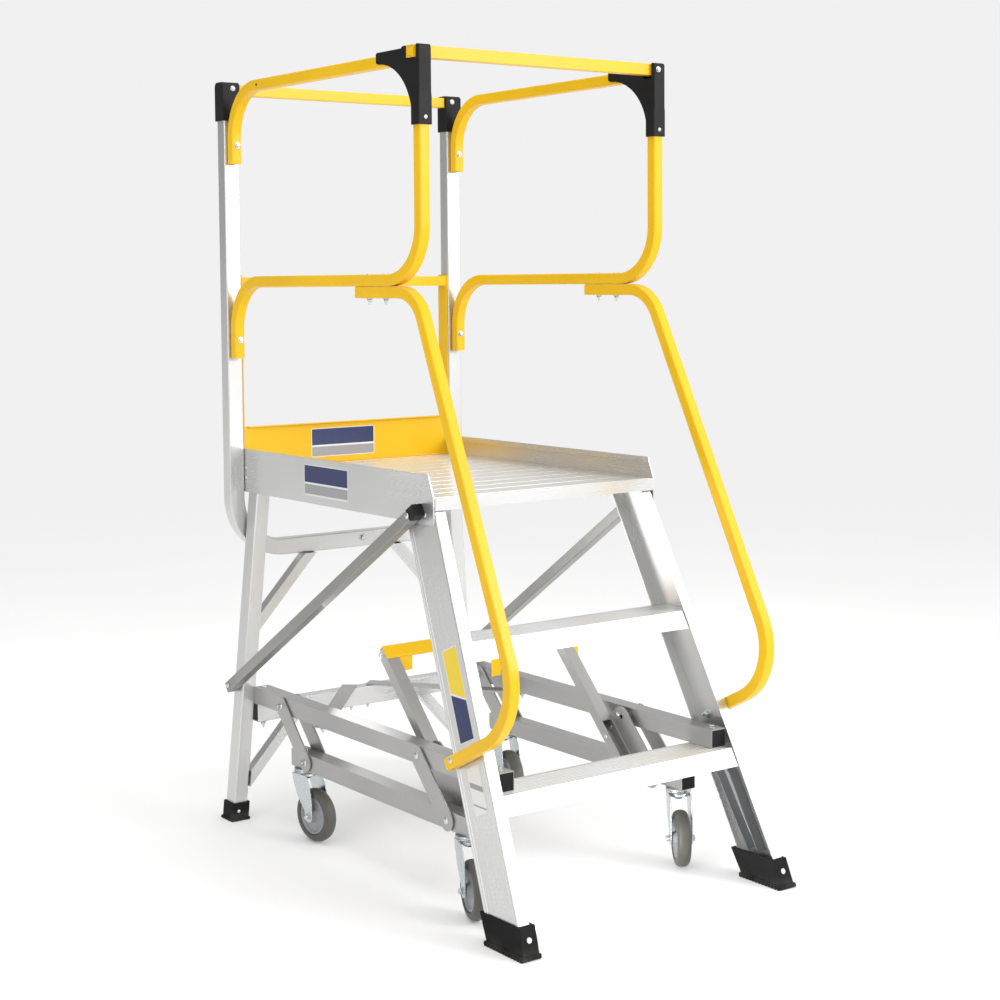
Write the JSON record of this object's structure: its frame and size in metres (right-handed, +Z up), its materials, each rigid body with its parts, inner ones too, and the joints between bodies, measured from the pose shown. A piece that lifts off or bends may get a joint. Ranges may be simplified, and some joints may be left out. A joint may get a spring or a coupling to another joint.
{
  "type": "mobile platform ladder",
  "caption": "Mobile order-picking ladder: leaning stiles with ribbed treads up to a guarded platform, and a lever-worked linkage that sets the frame on castors or on its feet.",
  "frame": {"origin": "on the floor, under the middle of the bounding box", "axes": "+Z up, +Y the way a climber faces going up, +X to the climber’s right"},
  "size_m": [0.75, 1.238, 1.796],
  "materials": {
    "aluminium_satin": "satin extruded",
    "aluminium_ribbed": "ribbed, worn bright on the ribs",
    "aluminium_mill": "mill finish, duller",
    "yellow_powder_coat": "semi-gloss powder coat",
    "black_plastic": "fine moulded grain",
    "black_rubber": "matt",
    "zinc_plate": "bright zinc plate",
    "castor_tyre": "grey rubber tread on a light grey core"
  },
  "bodies": {
    "frame": {"rear_hoop_frame": "aluminium_satin", "rear_leg_right": "aluminium_satin", "rear_leg_left": "aluminium_satin", "rear_boot_right": "black_rubber", "rear_boot_left": "black_rubber", "lower_rear_crossbar": "aluminium_satin", "upper_knee_brace_right": "aluminium_satin", "upper_knee_brace_left": "aluminium_satin", "lower_knee_brace_right": "aluminium_satin", "lower_knee_brace_left": "aluminium_satin", "corner_brace_right": "aluminium_mill", "corner_brace_left": "aluminium_mill", "upper_tube_right": "aluminium_mill", "upper_tube_left": "aluminium_mill", "front_stile_right": "aluminium_satin", "front_stile_left": "aluminium_satin", "front_boot_right": "black_rubber", "front_boot_left": "black_rubber", "stile_stiffener_right": "aluminium_satin", "stile_stiffener_left": "aluminium_satin", "tread_lower": "aluminium_ribbed", "tread_upper": "aluminium_ribbed", "platform_deck": "aluminium_ribbed", "side_panel_right": "aluminium_satin", "side_panel_left": "aluminium_satin", "toe_board": "yellow_powder_coat", "side_diagonal_right": "aluminium_mill", "side_diagonal_left": "aluminium_mill", "top_rail_right": "yellow_powder_coat", "top_rail_left": "yellow_powder_coat", "mid_rail_right": "yellow_powder_coat", "mid_rail_left": "yellow_powder_coat", "handrail_right": "yellow_powder_coat", "handrail_left": "yellow_powder_coat", "rail_bracket_right": "black_plastic", "rail_bracket_left": "black_plastic", "upright_cap_right": "black_plastic", "upright_cap_left": "black_plastic", "rear_top_bar": "yellow_powder_coat", "rear_mid_rail": "yellow_powder_coat"},
    "lift_lever": {"lift_bar": "yellow_powder_coat", "lever_arm_right": "aluminium_satin", "lever_arm_left": "aluminium_satin", "front_link_right": "aluminium_mill", "front_link_left": "aluminium_mill"},
    "carriage_left": {"castor_carrier_left": "aluminium_mill"},
    "rear_link_left": {"rear_link_left": "aluminium_mill"},
    "carriage_right": {"castor_carrier_right": "aluminium_mill"},
    "rear_link_right": {"rear_link_right": "aluminium_mill"},
    "fork_front_left": {"castor_fork_front_left": "zinc_plate"},
    "wheel_front_left": {"castor_wheel_front_left": "castor_tyre"},
    "fork_front_right": {"castor_fork_front_right": "zinc_plate"},
    "wheel_front_right": {"castor_wheel_front_right": "castor_tyre"},
    "fork_rear_left": {"castor_fork_rear_left": "zinc_plate"},
    "wheel_rear_left": {"castor_wheel_rear_left": "castor_tyre"},
    "fork_rear_right": {"castor_fork_rear_right": "zinc_plate"},
    "wheel_rear_right": {"castor_wheel_rear_right": "castor_tyre"},
    "safety_bar": {"safety_bar": "yellow_powder_coat"}
  },
  "joints": [
    {"name": "castor_lift", "type": "hinge", "parent": "frame", "child": "lift_lever", "pos_m": [0, -0.1753, 0.306], "axis": [1, 0, 0], "range_deg": [-4, 48]},
    {"name": "carriage_left_pivot", "type": "hinge", "parent": "lift_lever", "child": "carriage_left", "pos_m": [-0.2905, -0.2843, 0.1915], "axis": [1, 0, 0], "range_deg": [-48, 4]},
    {"name": "rear_link_left_pivot", "type": "hinge", "parent": "frame", "child": "rear_link_left", "pos_m": [-0.2905, 0.4014, 0.306], "axis": [1, 0, 0], "range_deg": [-4, 48]},
    {"name": "carriage_right_pivot", "type": "hinge", "parent": "lift_lever", "child": "carriage_right", "pos_m": [0.2905, -0.2843, 0.1915], "axis": [1, 0, 0], "range_deg": [-48, 4]},
    {"name": "rear_link_right_pivot", "type": "hinge", "parent": "frame", "child": "rear_link_right", "pos_m": [0.2905, 0.4014, 0.306], "axis": [1, 0, 0], "range_deg": [-4, 48]},
    {"name": "swivel_front_left", "type": "hinge", "parent": "carriage_left", "child": "fork_front_left", "pos_m": [-0.2905, -0.331, 0.15], "axis": [0, 0, 1], "continuous": true},
    {"name": "spin_front_left", "type": "hinge", "parent": "fork_front_left", "child": "wheel_front_left", "pos_m": [-0.30222, -0.36504, 0.0637], "axis": [0.9455, -0.3256, 0], "continuous": true},
    {"name": "swivel_front_right", "type": "hinge", "parent": "carriage_right", "child": "fork_front_right", "pos_m": [0.2905, -0.331, 0.15], "axis": [0, 0, 1], "continuous": true},
    {"name": "spin_front_right", "type": "hinge", "parent": "fork_front_right", "child": "wheel_front_right", "pos_m": [0.27089, -0.36119, 0.0637], "axis": [0.8387, -0.5446, 0], "continuous": true},
    {"name": "swivel_rear_left", "type": "hinge", "parent": "carriage_left", "child": "fork_rear_left", "pos_m": [-0.2905, 0.327, 0.15], "axis": [0, 0, 1], "continuous": true},
    {"name": "spin_rear_left", "type": "hinge", "parent": "fork_rear_left", "child": "wheel_rear_left", "pos_m": [-0.28611, 0.29127, 0.0637], "axis": [0.9925, 0.1219, 0], "continuous": true},
    {"name": "swivel_rear_right", "type": "hinge", "parent": "carriage_right", "child": "fork_rear_right", "pos_m": [0.2905, 0.327, 0.15], "axis": [0, 0, 1], "continuous": true},
    {"name": "spin_rear_right", "type": "hinge", "parent": "fork_rear_right", "child": "wheel_rear_right", "pos_m": [0.2824, 0.29192, 0.0637], "axis": [0.9744, -0.225, 0], "continuous": true},
    {"name": "safety_bar_pivot", "type": "hinge", "parent": "frame", "child": "safety_bar", "pos_m": [0.315, -0.216, 1.7818], "axis": [0, 1, 0], "range_deg": [0, 100]}
  ],
  "couplings": [
    {"joint": "carriage_left_pivot", "follows": "castor_lift", "ratio": -1},
    {"joint": "rear_link_left_pivot", "follows": "castor_lift", "ratio": 1},
    {"joint": "carriage_right_pivot", "follows": "castor_lift", "ratio": -1},
    {"joint": "rear_link_right_pivot", "follows": "castor_lift", "ratio": 1}
  ]
}
